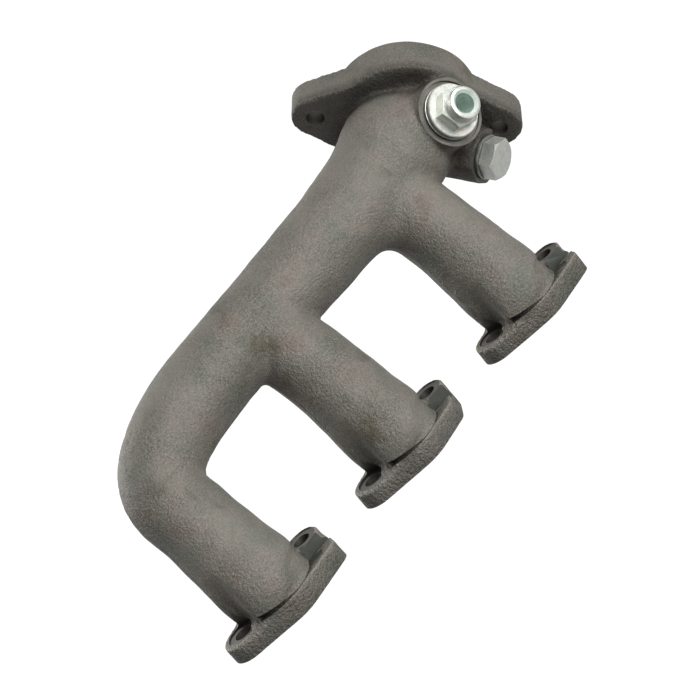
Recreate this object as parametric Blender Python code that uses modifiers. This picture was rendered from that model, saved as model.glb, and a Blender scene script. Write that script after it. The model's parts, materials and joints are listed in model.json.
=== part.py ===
"""Exhaust manifold for one bank of three cylinders.

One hollow iron casting joins three port flanges to a log pipe that ends in a
two-bolt outlet flange. A threaded tube adapter and a hexagon-head plug, each
on its own sealing washer, screw into two bosses beside the outlet.

Frame: +X along the row of ports towards the outlet, +Z away from the cylinder
head, the port faces in the plane z = 0, the origin under the middle of the box.
"""
import math

import bmesh
import bpy
from mathutils import Matrix, Vector

MM = 0.001
GAP = 0.3 * MM              # clearance that touching pieces keep
WELD = 0.001 * MM           # doubles closer than this are one vertex

# ---- where the middle port lies, so that the origin is under the box's middle
MIDDLE_PORT = Vector((-29.92, -42.14, 0.0)) * MM

# ---- port flanges -----------------------------------------------------------
PORT_PITCH = 111.8 * MM     # cylinder spacing
PORT_COUNT = 3
LAST_PORT = Vector((PORT_PITCH * (PORT_COUNT - 1) / 2, 0.0, 0.0))   # from the middle port
PLATE_THICK = 12.0 * MM
LUG_HEIGHT = 18.5 * MM      # top of the taller bolt lug above the port face
LUG_SEAT_SINK = 0.8 * MM    # how deep its machined seat is sunk
SPOTFACE_HEIGHT = 9.5 * MM  # machined seat on the low ear above the port face
BOLT_HOLE_D = 10.4 * MM
SPOTFACE_D = 19.0 * MM
EAR_POCKET = 6.5 * MM       # height of the seat's pocket in the runner's flank
EAR_BOLT = Vector((-29.2, 2.0, 0.0)) * MM
LUG_BOLT = Vector((29.5, 3.5, 0.0)) * MM
EAR_R = 12.8 * MM
LUG_R = 10.6 * MM
PLATE_R = 23.4 * MM         # round middle of the plate
LOBE_AT = Vector((31.0, -11.0, 0.0)) * MM
LOBE_R = 6.5 * MM
LOBE_SHORT = (0.0, 7.0 * MM, 0.0)   # how much less each plate's lobe reaches

# ---- pipes ------------------------------------------------------------------
WALL = 5.0 * MM
PORT_BORE_R = 17.5 * MM     # gas passage of a runner
MOUTH_R = 21.8 * MM         # runner inside its plate; a groove runs round it above the plate
NECK_R = 25.6 * MM          # runner at its widest, above the plate
KINK_R = 24.2 * MM          # runner at the kink where it starts to narrow
RUNNER_R = 23.2 * MM
LOG_R = 24.5 * MM
DOME_R = 35.0 * MM          # the log where it swells into the outlet
LOG_Y = 50.0 * MM           # log axis, sideways from the port centres
LOG_Z = 103.0 * MM          # log axis above the port faces
NECK_FLARE = 5.5 * MM       # height over which the runner swells above its plate
NECK_STRAIGHT = 26.0 * MM   # height where a runner starts to lean over
NECK_TOP = 42.0 * MM        # height of the kink
NECK_SHIFT = 2.6 * MM       # the neck swells away from the outlet
RELIEF_AT = Vector((-34.5, -4.0, 0.0)) * MM   # upright flute that clears the low bolt's socket
RELIEF_R = 13.0 * MM
RELIEF_TOP = 50.0 * MM
PIPE_BEVEL = 6              # bevel resolution of the pipes: 16 sides

# ---- outlet flange ----------------------------------------------------------
OUTLET_AT = LAST_PORT + Vector((46.6 * MM, LOG_Y + 10.0 * MM, LOG_Z + 10.6 * MM))  # back face
OUTLET_YAW = math.radians(36.0)                 # turned from +X towards +Y
OUTLET_PITCH = math.radians(18.0)               # raised from the port plane
OUTLET_ROLL = math.radians(45.0)                # ear line turned about the outlet axis
OUTLET_THICK = 23.0 * MM    # at the round middle, which stands proud of the ears
OUTLET_EAR_THICK = 19.0 * MM
OUTLET_R = 42.0 * MM        # round middle of the flange
OUTLET_WEB_R = 38.5 * MM    # circle that the flanks of the ears run out from
OUTLET_BORE_R = 29.0 * MM
OUTLET_EAR_R = 14.0 * MM
OUTLET_BOLTS = 107.0 * MM   # spacing of the two outlet bolt holes
OUTLET_HOLE_D = 11.0 * MM

# ---- threaded bosses --------------------------------------------------------
THREAD_R = 9.0 * MM         # both threads are M18 x 1.5
EGR_SEAT = LAST_PORT + Vector((50.8 * MM, LOG_Y + 7.0 * MM - DOME_R, LOG_Z + 7.6 * MM))
EGR_AXIS = Vector((0.08, -0.985, 0.15)).normalized()
EGR_BOSS_R = 20.4 * MM
EGR_BOSS_DEPTH = 34.0 * MM
EGR_SPOT_R = 18.8 * MM
EGR_SPOT_DEPTH = 1.5 * MM
PLUG_SEAT = LAST_PORT + Vector((58.3 * MM, LOG_Y - 16.3 * MM, LOG_Z + 4.6 * MM - DOME_R))
PLUG_AXIS = Vector((0.17, -0.85, -0.50)).normalized()
PLUG_BOSS_R = 16.6 * MM
PLUG_BOSS_DEPTH = 34.0 * MM

# ---- screwed fittings -------------------------------------------------------
WASHER_THICK = 1.6 * MM
EGR_WASHER_R = 16.4 * MM
EGR_COLLAR_R = 16.0 * MM
EGR_COLLAR_THICK = 3.4 * MM
EGR_HEX_FLATS = 22.0 * MM
EGR_HEX_THICK = 8.0 * MM
EGR_NECK_R = 9.7 * MM
EGR_NECK_LENGTH = 6.4 * MM
EGR_BORE_R = 6.0 * MM
EGR_SHANK = 14.0 * MM
PLUG_WASHER_R = 13.2 * MM
PLUG_HEX_FLATS = 22.0 * MM
PLUG_HEAD_THICK = 8.6 * MM
PLUG_SHANK = 16.0 * MM
EGR_TURN = math.radians(8.0)    # how far each hexagon is turned about its axis
PLUG_TURN = math.radians(10.0)
ROUND_SIDES = 32
HOLE_SIDES = 20
SEAT_SIDES = 24
OVERCUT = 5.0 * MM          # how far a cutter runs past the face that it opens
TOOL_REACH = 30.0 * MM      # clear height that a spot-facing tool leaves above its seat

OBJECT_NAME = "exhaust_manifold"


# ---- scene helpers ----------------------------------------------------------

def clear_scene():
    for obj in list(bpy.data.objects):
        bpy.data.objects.remove(obj, do_unlink=True)


def new_collection(name):
    collection = bpy.data.collections.new(name)
    bpy.context.scene.collection.children.link(collection)
    return collection


def finish(name, colour, roughness, metallic):
    material = bpy.data.materials.new(name)
    material.use_nodes = True
    shader = material.node_tree.nodes["Principled BSDF"]
    shader.inputs["Base Color"].default_value = (*colour, 1.0)
    shader.inputs["Roughness"].default_value = roughness
    shader.inputs["Metallic"].default_value = metallic
    return material


def add_object(name, data, collection, place=None):
    obj = bpy.data.objects.new(name, data)
    collection.objects.link(obj)
    if place is not None:
        obj.matrix_world = place
    return obj


def as_guide(obj):
    """A cutter or a guide is drawn as wire and left out of renders."""
    obj.hide_render = True
    obj.display_type = "WIRE"
    return obj


def mesh_from_bmesh(name, bm):
    mesh = bpy.data.meshes.new(name)
    bm.to_mesh(mesh)
    bm.free()
    return mesh


def curve_to_mesh(obj):
    """Replace a curve by its mesh, with the loose caps welded on."""
    bpy.context.view_layer.update()
    evaluated = obj.evaluated_get(bpy.context.evaluated_depsgraph_get())
    mesh = bpy.data.meshes.new_from_object(evaluated)
    bm = bmesh.new()
    bm.from_mesh(mesh)
    bmesh.ops.remove_doubles(bm, verts=bm.verts, dist=WELD)
    bmesh.ops.recalc_face_normals(bm, faces=bm.faces)
    bm.to_mesh(mesh)
    bm.free()
    solid = add_object(obj.name + "_mesh", mesh, obj.users_collection[0], obj.matrix_world.copy())
    bpy.data.objects.remove(obj, do_unlink=True)
    return as_guide(solid)


def axis_frame(origin, axis, roll=0.0):
    """A frame at origin whose local +Z runs along axis."""
    turn = axis.to_track_quat("Z", "Y").to_matrix().to_4x4()
    return Matrix.Translation(origin) @ turn @ Matrix.Rotation(roll, 4, "Z")


def boolean(obj, operation, operand):
    """Join or cut obj with one object, or with all those of a collection."""
    modifier = obj.modifiers.new(operation.lower(), "BOOLEAN")
    modifier.operation = operation
    modifier.solver = "EXACT"
    if isinstance(operand, bpy.types.Collection):
        modifier.operand_type = "COLLECTION"
        modifier.collection = operand
    else:
        modifier.object = operand


def as_part(obj, name, material):
    """A finished piece: named, smooth where it is round, with its material."""
    obj.name = name
    obj.hide_render = False
    obj.display_type = "TEXTURED"
    obj.data.materials.append(material)
    obj.data.shade_smooth()
    obj.data.set_sharp_from_angle(angle=math.radians(35.0))
    return obj


# ---- shapes -----------------------------------------------------------------

def cylinder(name, radius, low, high, collection, place, sides=ROUND_SIDES):
    """A cylinder along local Z, from height low to height high."""
    bm = bmesh.new()
    bmesh.ops.create_cone(bm, cap_ends=True, segments=sides, radius1=radius, radius2=radius,
                          depth=high - low)
    bmesh.ops.translate(bm, verts=bm.verts, vec=(0.0, 0.0, (low + high) / 2.0))
    return as_guide(add_object(name, mesh_from_bmesh(name, bm), collection, place))


def smooth_path(knots, steps):
    """Points and radii on a Catmull-Rom curve through the knots (point, radius)."""
    points = [Vector(point) for point, _ in knots]
    radii = [radius for _, radius in knots]
    points = [2 * points[0] - points[1]] + points + [2 * points[-1] - points[-2]]
    radii = [radii[0]] + radii + [radii[-1]]
    path = []
    for i in range(1, len(points) - 2):
        last = 1 if i == len(points) - 3 else 0
        for step in range(steps + last):
            t = step / steps
            weights = (-t ** 3 + 2 * t * t - t, 3 * t ** 3 - 5 * t * t + 2,
                       -3 * t ** 3 + 4 * t * t + t, t ** 3 - t * t)
            point = sum((w * p for w, p in zip(weights, points[i - 1:i + 3])), Vector()) / 2
            path.append((point, radii[i] * (1 - t) + radii[i + 1] * t))
    return path


def pipe(name, knots, collection, steps=3):
    """A closed pipe along the knots (point, radius)."""
    curve = bpy.data.curves.new(name, "CURVE")
    curve.dimensions = "3D"
    curve.bevel_depth = 1.0
    curve.bevel_resolution = PIPE_BEVEL
    curve.use_fill_caps = True
    path = smooth_path(knots, steps)
    spline = curve.splines.new("POLY")
    spline.points.add(len(path) - 1)
    for spot, (point, radius) in zip(spline.points, path):
        spot.co = (*point, 1.0)
        spot.radius = radius
    return curve_to_mesh(add_object(name, curve, collection))


def hull_outline(circles, arc_step=math.radians(15.0)):
    """The outline that runs round the circles (centre, radius), given anticlockwise."""
    count = len(circles)
    normals = []
    for i in range(count):
        (c1, r1), (c2, r2) = circles[i], circles[(i + 1) % count]
        along = c2 - c1
        heading = math.atan2(along.y, along.x)
        normals.append(heading - math.acos((r1 - r2) / along.length))
    outline = []
    for i, (centre, radius) in enumerate(circles):
        start = normals[i - 1]
        span = (normals[i] - start) % math.tau
        steps = max(1, round(span / arc_step))
        for step in range(steps + 1):
            angle = start + span * step / steps
            outline.append(centre + radius * Vector((math.cos(angle), math.sin(angle), 0.0)))
    return outline


def slab(name, outline, low, high, collection, place):
    """A flat outline given a thickness, from local height low to height high."""
    curve = bpy.data.curves.new(name, "CURVE")
    curve.dimensions = "2D"
    curve.fill_mode = "BOTH"
    curve.extrude = (high - low) / 2.0
    spline = curve.splines.new("POLY")
    spline.points.add(len(outline) - 1)
    for spot, point in zip(spline.points, outline):
        spot.co = (point.x, point.y, 0.0, 1.0)
    spline.use_cyclic_u = True
    middle = Matrix.Translation((0.0, 0.0, (low + high) / 2.0))
    return curve_to_mesh(add_object(name, curve, collection, place @ middle))


def hexagon(name, flats, low, high, collection, place):
    """A hexagonal prism along local Z, flats wide between opposite faces."""
    return cylinder(name, flats / math.sqrt(3.0), low, high, collection, place, sides=6)


def turned(name, profile, collection, place, ring=False):
    """A solid of revolution; its profile (radius, height) runs down the outer side.

    A ring's profile closes on itself; any other begins and ends on the axis.
    """
    bm = bmesh.new()
    verts = [bm.verts.new((radius, 0.0, height)) for radius, height in profile]
    for upper, lower in zip(verts, verts[1:] + verts[:1] if ring else verts[1:]):
        bm.edges.new((upper, lower))
    obj = add_object(name, mesh_from_bmesh(name, bm), collection, place)
    screw = obj.modifiers.new("turn", "SCREW")
    screw.steps = ROUND_SIDES
    screw.render_steps = ROUND_SIDES
    screw.use_merge_vertices = True
    screw.merge_threshold = WELD
    return obj


# ---- the casting ------------------------------------------------------------

def port_place(index):
    offset = (index - (PORT_COUNT - 1) / 2) * PORT_PITCH
    return MIDDLE_PORT + Vector((offset, 0.0, 0.0))


def on_log(port, along, sideways, rise):
    """A place near the log axis, measured from where that axis passes over a port."""
    return port + Vector((along, LOG_Y + sideways, LOG_Z + rise))


def outlet_frame():
    axis = Vector((math.cos(OUTLET_PITCH) * math.cos(OUTLET_YAW),
                   math.cos(OUTLET_PITCH) * math.sin(OUTLET_YAW), math.sin(OUTLET_PITCH)))
    return axis_frame(MIDDLE_PORT + OUTLET_AT, axis, OUTLET_ROLL)


def neck_knots(port, swell=NECK_SHIFT):
    """The first stretch of every runner, up to its kink: place, outer and gas radius."""
    side = Vector((-swell, 0.0, 0.0))
    return [
        (port, MOUTH_R, PORT_BORE_R),
        (port + Vector((0.0, 0.0, PLATE_THICK)), MOUTH_R, PORT_BORE_R),
        (port + side + Vector((0.0, 1.0 * MM, PLATE_THICK + NECK_FLARE)), NECK_R - 0.4 * MM, PORT_BORE_R),
        (port + side + Vector((0.0, 5.0 * MM, NECK_STRAIGHT)), NECK_R, PORT_BORE_R),
        (port + side / 2 + Vector((0.0, 14.5 * MM, NECK_TOP)), KINK_R, PORT_BORE_R),
        (port + Vector((0.0, 25.0 * MM, NECK_TOP + 19.0 * MM)), RUNNER_R, PORT_BORE_R),
    ]


def runner_knots(port, swell=NECK_SHIFT):
    """A runner stands up from its port, then leans over to the log axis."""
    knots = neck_knots(port, swell)
    start = knots[-1][0]
    end = port + Vector((0.0, LOG_Y, LOG_Z))
    return knots + [(start.lerp(end, share), RUNNER_R, PORT_BORE_R) for share in (0.5, 1.0)]


def log_knots(swell=NECK_SHIFT):
    """The first runner bends into the log, which swells into the outlet."""
    axis = outlet_frame().to_3x3() @ Vector((0.0, 0.0, 1.0))
    outlet = MIDDLE_PORT + OUTLET_AT
    first, last = port_place(0), port_place(PORT_COUNT - 1)
    bends = [
        (on_log(first, 2.8 * MM, -12.0 * MM, -22.0 * MM), RUNNER_R),
        (on_log(first, 21.8 * MM, -6.0 * MM, -8.0 * MM), RUNNER_R),
        (on_log(first, PORT_PITCH / 2, -2.0 * MM, -2.0 * MM), LOG_R),
        (on_log(first, PORT_PITCH, 0.0, 0.0), LOG_R),
        (on_log(last, -51.8 * MM, 0.0, 1.5 * MM), LOG_R + 1.5 * MM),
        (on_log(last, -6.8 * MM, 1.0 * MM, 3.0 * MM), LOG_R + 4.0 * MM),
        (on_log(last, 26.2 * MM, 4.0 * MM, 6.5 * MM), DOME_R - 2.0 * MM),
        (outlet - axis * 4.0 * MM, DOME_R),
        (outlet + axis * OUTLET_EAR_THICK / 2, DOME_R),
    ]
    return neck_knots(port_place(0), swell) + [(at, r, r - WALL) for at, r in bends]


def flue(name, knots, solids):
    """The outside of a pipe, from knots of place, outer and gas radius."""
    return pipe(name, [(at, outer) for at, outer, _ in knots], solids)


def gas_way(name, knots, cuts):
    """The inside of a pipe, run out past the port face."""
    ways = [(at, inner) for at, _, inner in knots]
    start = (ways[0][0] - Vector((0.0, 0.0, OVERCUT)), ways[0][1])
    return pipe(name, [start] + ways, cuts)


def port_flange(index, solids, cuts):
    place = Matrix.Translation(port_place(index))
    lobe = LOBE_AT - Vector((LOBE_SHORT[index], 0.0, 0.0))
    circles = [(EAR_BOLT, EAR_R), (Vector(), PLATE_R), (lobe, LOBE_R), (LUG_BOLT, LUG_R),
               (Vector(), PLATE_R)]
    slab(f"plate_{index + 1}", hull_outline(circles), 0.0, PLATE_THICK, solids, place)
    at_lug = place @ Matrix.Translation(LUG_BOLT)
    cylinder(f"lug_{index + 1}", LUG_R - 0.1 * MM, 1.0 * MM, LUG_HEIGHT, solids, at_lug)
    at_ear = place @ Matrix.Translation(EAR_BOLT)
    for name, at in (("ear_hole", at_ear), ("lug_hole", at_lug)):
        cylinder(f"{name}_{index + 1}", BOLT_HOLE_D / 2, -OVERCUT, LUG_HEIGHT + OVERCUT, cuts, at,
                 HOLE_SIDES)
    cylinder(f"ear_seat_{index + 1}", SPOTFACE_D / 2, SPOTFACE_HEIGHT,
             SPOTFACE_HEIGHT + EAR_POCKET, cuts, at_ear, SEAT_SIDES)
    cylinder(f"lug_seat_{index + 1}", SPOTFACE_D / 2, LUG_HEIGHT - LUG_SEAT_SINK,
             LUG_HEIGHT + TOOL_REACH / 2, cuts, at_lug, SEAT_SIDES)
    at_flute = place @ Matrix.Translation(RELIEF_AT)
    cylinder(f"flute_{index + 1}", RELIEF_R, PLATE_THICK, RELIEF_TOP, cuts, at_flute, SEAT_SIDES)


def outlet_flange(solids, cuts):
    place = outlet_frame()
    ear = Vector((OUTLET_BOLTS / 2, 0.0, 0.0))
    circles = [(-ear, OUTLET_EAR_R), (Vector(), OUTLET_WEB_R), (ear, OUTLET_EAR_R),
               (Vector(), OUTLET_WEB_R)]
    slab("outlet_ears", hull_outline(circles), 0.0, OUTLET_EAR_THICK, solids, place)
    cylinder("outlet_disc", OUTLET_R, 0.5 * MM, OUTLET_THICK, solids, place)
    for side, at in (("near", ear), ("far", -ear)):
        spot = place @ Matrix.Translation(at)
        cylinder(f"outlet_hole_{side}", OUTLET_HOLE_D / 2, -TOOL_REACH, OUTLET_THICK + OVERCUT,
                 cuts, spot, HOLE_SIDES)
    cylinder("outlet_bore", OUTLET_BORE_R, -20.0 * MM, OUTLET_THICK + OVERCUT, cuts, place)


def boss(name, seat, axis, radius, depth, spot_r, spot_depth, solids, cuts):
    place = axis_frame(MIDDLE_PORT + seat, axis)
    cylinder(f"{name}_boss", radius, -depth, max(spot_depth, 1.0 * MM), solids, place)
    cylinder(f"{name}_spotface", spot_r, 0.0, TOOL_REACH, cuts, place)
    cylinder(f"{name}_thread", THREAD_R + GAP, -depth - OVERCUT, OVERCUT, cuts, place, SEAT_SIDES)


def casting(parts, solids, cuts, iron):
    for index in range(PORT_COUNT):
        port_flange(index, solids, cuts)
    for index in range(1, PORT_COUNT):
        flue(f"runner_{index + 1}", runner_knots(port_place(index)), solids)
        gas_way(f"runner_{index + 1}_gas", runner_knots(port_place(index), swell=0.0), cuts)
    body = flue("manifold_casting_core", log_knots(), parts)
    gas_way("log_gas", log_knots(swell=0.0), cuts)
    below = Matrix.Translation(MIDDLE_PORT)
    cylinder("port_faces", 2 * PORT_PITCH, -4 * OVERCUT, 0.0, cuts, below, 8)
    outlet_flange(solids, cuts)
    boss("egr", EGR_SEAT, EGR_AXIS, EGR_BOSS_R, EGR_BOSS_DEPTH, EGR_SPOT_R, EGR_SPOT_DEPTH,
         solids, cuts)
    boss("plug", PLUG_SEAT, PLUG_AXIS, PLUG_BOSS_R, PLUG_BOSS_DEPTH, PLUG_BOSS_R + 2.0 * MM, 0.0,
         solids, cuts)
    boolean(body, "UNION", solids)
    boolean(body, "DIFFERENCE", cuts)
    as_part(body, "manifold_casting", iron)


# ---- the screwed fittings ---------------------------------------------------

def sealing_washer(name, radius, place, parts, material):
    low, high, inner = GAP, GAP + WASHER_THICK, THREAD_R + GAP
    profile = [(radius, high), (radius, low), (inner, low), (inner, high)]
    as_part(turned(name, profile, parts, place, ring=True), name, material)


def egr_adapter(parts, guides, plated):
    """A collared hexagon with a threaded shank below and a hollow pipe neck above."""
    place = axis_frame(MIDDLE_PORT + EGR_SEAT, EGR_AXIS, EGR_TURN)
    sealing_washer("egr_adapter_washer", EGR_WASHER_R, place, parts, plated)
    base = WASHER_THICK + 2 * GAP
    collar = base + EGR_COLLAR_THICK
    top = collar + EGR_HEX_THICK + EGR_NECK_LENGTH
    profile = [(0.0, top), (EGR_NECK_R, top), (EGR_NECK_R, collar), (EGR_COLLAR_R, collar),
               (EGR_COLLAR_R, base), (THREAD_R, base), (THREAD_R, -EGR_SHANK), (0.0, -EGR_SHANK)]
    body = turned("egr_adapter", profile, parts, place)
    nut = hexagon("egr_hexagon", EGR_HEX_FLATS, collar - 1.0 * MM, collar + EGR_HEX_THICK,
                  guides, place)
    bore = cylinder("egr_bore", EGR_BORE_R, -EGR_SHANK - OVERCUT, top + OVERCUT, guides, place,
                    SEAT_SIDES)
    boolean(body, "UNION", nut)
    boolean(body, "DIFFERENCE", bore)
    as_part(body, "egr_adapter", plated)


def port_plug(parts, guides, plated):
    """A hexagon-head plug with a plain-ended threaded shank."""
    place = axis_frame(MIDDLE_PORT + PLUG_SEAT, PLUG_AXIS, PLUG_TURN)
    sealing_washer("plug_washer", PLUG_WASHER_R, place, parts, plated)
    base = WASHER_THICK + 2 * GAP
    body = cylinder("port_plug", THREAD_R, -PLUG_SHANK, base + 1.0 * MM, parts, place)
    head = hexagon("plug_head", PLUG_HEX_FLATS, base, base + PLUG_HEAD_THICK, guides, place)
    boolean(body, "UNION", head)
    as_part(body, "port_plug", plated)


def main():
    clear_scene()
    parts = new_collection(OBJECT_NAME)
    solids = new_collection("casting_solids")
    cuts = new_collection("cutters")
    guides = new_collection("fitting_guides")
    iron = finish("cast_iron", (0.16, 0.15, 0.14), 0.55, 0.8)
    plated = finish("zinc_plated_steel", (0.62, 0.64, 0.62), 0.3, 1.0)
    casting(parts, solids, cuts, iron)
    egr_adapter(parts, guides, plated)
    port_plug(parts, guides, plated)


main()
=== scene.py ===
"""Looks for a cast iron exhaust manifold: the shot-blasted casting, its machined
seats and bores, and the two plated fittings with their sealing washers.

The casting is first laid up rough from pipes, plates and bosses, as the pattern
was. One skin is drawn over them, its inside corners are filled as a fillet of
wax fills them, and then the machined faces and holes are cut, the threaded holes left plain.
"""

import json
import math

import bmesh
import bpy
import numpy as np
from mathutils import Euler, Matrix, Vector, noise


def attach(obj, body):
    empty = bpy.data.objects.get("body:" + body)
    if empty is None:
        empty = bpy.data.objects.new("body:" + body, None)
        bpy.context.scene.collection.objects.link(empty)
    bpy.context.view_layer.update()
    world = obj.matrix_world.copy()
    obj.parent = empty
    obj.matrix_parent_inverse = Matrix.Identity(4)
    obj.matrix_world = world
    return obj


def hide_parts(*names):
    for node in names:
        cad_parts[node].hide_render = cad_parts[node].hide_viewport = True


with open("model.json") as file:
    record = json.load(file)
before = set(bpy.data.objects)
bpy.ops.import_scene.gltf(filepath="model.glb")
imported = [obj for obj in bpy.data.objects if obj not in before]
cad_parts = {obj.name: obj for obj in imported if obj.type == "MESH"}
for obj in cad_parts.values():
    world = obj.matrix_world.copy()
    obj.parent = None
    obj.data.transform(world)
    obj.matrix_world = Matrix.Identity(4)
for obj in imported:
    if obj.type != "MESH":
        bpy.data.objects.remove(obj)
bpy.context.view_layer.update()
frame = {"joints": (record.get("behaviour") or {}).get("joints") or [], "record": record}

MM = 0.001
WELD = 0.004 * MM
RECORD = frame["record"]
MOUNTS = {mount["name"]: mount for mount in RECORD["mounts"]}
JOINTS = {joint["name"]: joint for joint in frame["joints"]}

# ---- sizes of the casting ---------------------------------------------------
PORT_COUNT = 3
PORT_FACE_POINT = Vector((0.0, 20.3, 0.0)) * MM   # from the port face's mount to the port's axis
PLATE_THICK = 12.0 * MM
LUG_HEIGHT = 18.5 * MM
LUG_SEAT = 17.7 * MM
EAR_SEAT = 9.5 * MM
EAR_TOP = 10.3 * MM                              # the ear is cast lower than the plate
EAR_STEP = 3.0 * MM                              # how far the plate's full height runs out onto it
EAR_POCKET = 9.0 * MM
POCKET_TIP_R = 5.0 * MM
BOLT_HOLE_R = 5.2 * MM
SPOTFACE_R = 9.5 * MM
EAR_BOLT = Vector((-29.2, 2.0, 0.0)) * MM
LUG_BOLT = Vector((29.5, 3.5, 0.0)) * MM
EAR_R = 12.8 * MM
LUG_R = 10.6 * MM
PLATE_R = 23.4 * MM
LOBE_AT = Vector((31.0, -11.0, 0.0)) * MM
LOBE_R = 6.5 * MM
LOBE_SHORT = (0.0, 7.0 * MM, 0.0)
WALL = 5.0 * MM
PORT_BORE_R = 17.5 * MM
MOUTH_R = 21.8 * MM
NECK_R = 25.6 * MM
KINK_R = 24.2 * MM
RUNNER_R = 23.2 * MM
LOG_R = 24.5 * MM
DOME_R = 35.0 * MM
LOG_Y = 50.0 * MM
LOG_Z = 103.0 * MM
NECK_SHIFT = 2.6 * MM
FLUTE_AT = Vector((-34.5, -4.0, 0.0)) * MM
FLUTE_R = 13.0 * MM
FLUTE_TOP = 50.0 * MM
OUTLET_FACE_POINT = 35.5 * MM                    # how far the face's mount is from its axis
OUTLET_ROLL = math.radians(45.0)
OUTLET_THICK = 23.0 * MM
OUTLET_EAR_THICK = 19.0 * MM
OUTLET_R = 42.0 * MM
OUTLET_WEB_R = 38.5 * MM
OUTLET_BORE_R = 29.0 * MM
OUTLET_EAR_R = 14.0 * MM
OUTLET_BOLTS = 107.0 * MM
OUTLET_HOLE_R = 5.5 * MM
OUTLET_NECK_DROP = 3.0 * MM                      # and how far its centre sits below the flange's
OUTLET_NECKING = 5.5 * MM                        # how much the dome draws in behind the flange
EGR_BOSS_R = 20.4 * MM
EGR_SPOT_R = 18.8 * MM
EGR_RIM = 1.5 * MM
PLUG_BOSS_R = 16.6 * MM
BOSS_DEPTH = 34.0 * MM

# ---- sizes of the fittings --------------------------------------------------
PITCH = 1.5 * MM
THREAD_R = 9.0 * MM
GAP = 0.3 * MM
WASHER_THICK = 1.6 * MM
EGR_WASHER_R = 16.4 * MM
EGR_COLLAR_R = 16.0 * MM
EGR_COLLAR_THICK = 3.4 * MM
HEX_FLATS = 22.0 * MM
EGR_HEX_THICK = 8.0 * MM
EGR_NECK_R = 9.7 * MM
EGR_NECK_LENGTH = 6.4 * MM
EGR_BORE_R = 6.0 * MM
EGR_SHANK = 14.0 * MM
PLUG_WASHER_R = 13.2 * MM
PLUG_HEAD_THICK = 8.6 * MM
PLUG_SHANK = 16.0 * MM
EGR_TURN = math.radians(8.0)
PLUG_TURN = math.radians(10.0)
SEAT_TO_HEAD = WASHER_THICK + 2 * GAP

# ---- fineness ---------------------------------------------------------------
SKIN = 1.3 * MM         # width of one face of the cast skin
OVERCUT = 5.0 * MM
UPRIGHT = Matrix.Identity(4)


# ---- mesh helpers -----------------------------------------------------------

def axis_frame(origin, axis, roll=0.0):
    """A frame at origin whose local +Z runs along axis."""
    turn = Vector(axis).to_track_quat("Z", "Y").to_matrix().to_4x4()
    return Matrix.Translation(origin) @ turn @ Matrix.Rotation(roll, 4, "Z")


def new_object(name, bm, material=None):
    mesh = bpy.data.meshes.new(name)
    bm.to_mesh(mesh)
    bm.free()
    obj = bpy.data.objects.new(name, mesh)
    bpy.context.scene.collection.objects.link(obj)
    if material is not None:
        mesh.materials.append(material)
    return obj


def settle(obj):
    """Replace an object's mesh by what its modifiers make of it."""
    bpy.context.view_layer.update()
    evaluated = obj.evaluated_get(bpy.context.evaluated_depsgraph_get())
    mesh = bpy.data.meshes.new_from_object(evaluated)
    obj.modifiers.clear()
    obj.data = mesh
    return obj


def combine(obj, tools, operation):
    """Join the tools to obj, or cut them from it; the tools are used up."""
    group = bpy.data.collections.new("tools")
    bpy.context.scene.collection.children.link(group)
    for tool in tools:
        group.objects.link(tool)
    modifier = obj.modifiers.new("combine", "BOOLEAN")
    modifier.operation = operation
    modifier.operand_type = "COLLECTION"
    modifier.collection = group
    modifier.solver = "EXACT"
    modifier.material_mode = "TRANSFER"
    settle(obj)
    for tool in tools:
        bpy.data.objects.remove(tool, do_unlink=True)
    bpy.data.collections.remove(group)
    bm = bmesh.new()
    bm.from_mesh(obj.data)
    bmesh.ops.remove_doubles(bm, verts=bm.verts, dist=WELD)
    bmesh.ops.dissolve_degenerate(bm, edges=bm.edges, dist=WELD)
    strays = [vert for vert in bm.verts if not vert.link_faces]
    bmesh.ops.delete(bm, geom=strays, context="VERTS")
    bm.to_mesh(obj.data)
    bm.free()
    return obj


def smooth_with_edges(obj, angle):
    obj.data.shade_smooth()
    obj.data.set_sharp_from_angle(angle=math.radians(angle))
    return obj


def outward(bm):
    bmesh.ops.remove_doubles(bm, verts=bm.verts, dist=WELD)
    bmesh.ops.recalc_face_normals(bm, faces=bm.faces)


def smooth_path(knots, steps):
    """Points and radii on a Catmull-Rom curve through the knots (point, radius)."""
    points = [Vector(point) for point, _ in knots]
    radii = [radius for _, radius in knots]
    points = [2 * points[0] - points[1]] + points + [2 * points[-1] - points[-2]]
    radii = [radii[0]] + radii + [radii[-1]]
    path = []
    for i in range(1, len(points) - 2):
        last = 1 if i == len(points) - 3 else 0
        for step in range(steps + last):
            t = step / steps
            weights = (-t ** 3 + 2 * t * t - t, 3 * t ** 3 - 5 * t * t + 2,
                       -3 * t ** 3 + 4 * t * t + t, t ** 3 - t * t)
            point = sum((w * p for w, p in zip(weights, points[i - 1:i + 3])), Vector()) / 2
            blend = t * t * (3 - 2 * t)
            path.append((point, radii[i] * (1 - blend) + radii[i + 1] * blend))
    return path


def pipe(knots, sides=40, steps=6):
    """A closed round pipe along the knots (point, radius)."""
    bm = bmesh.new()
    path = smooth_path(knots, steps)
    heading = (path[1][0] - path[0][0]).normalized()
    turn = heading.to_track_quat("Z", "Y")
    rings = []
    for i, (point, radius) in enumerate(path):
        ahead = path[min(i + 1, len(path) - 1)][0] - path[max(i - 1, 0)][0]
        turn = heading.rotation_difference(ahead.normalized()) @ turn
        heading = ahead.normalized()
        place = Matrix.Translation(point) @ turn.to_matrix().to_4x4()
        ring = bmesh.ops.create_circle(bm, segments=sides, radius=radius, matrix=place)["verts"]
        rings.append(list({edge for vert in ring for edge in vert.link_edges}))
    for near, far in zip(rings, rings[1:]):
        bmesh.ops.bridge_loops(bm, edges=near + far)
    for end in (rings[0], rings[-1]):
        bmesh.ops.edgeloop_fill(bm, edges=end)
    outward(bm)
    return bm


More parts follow.
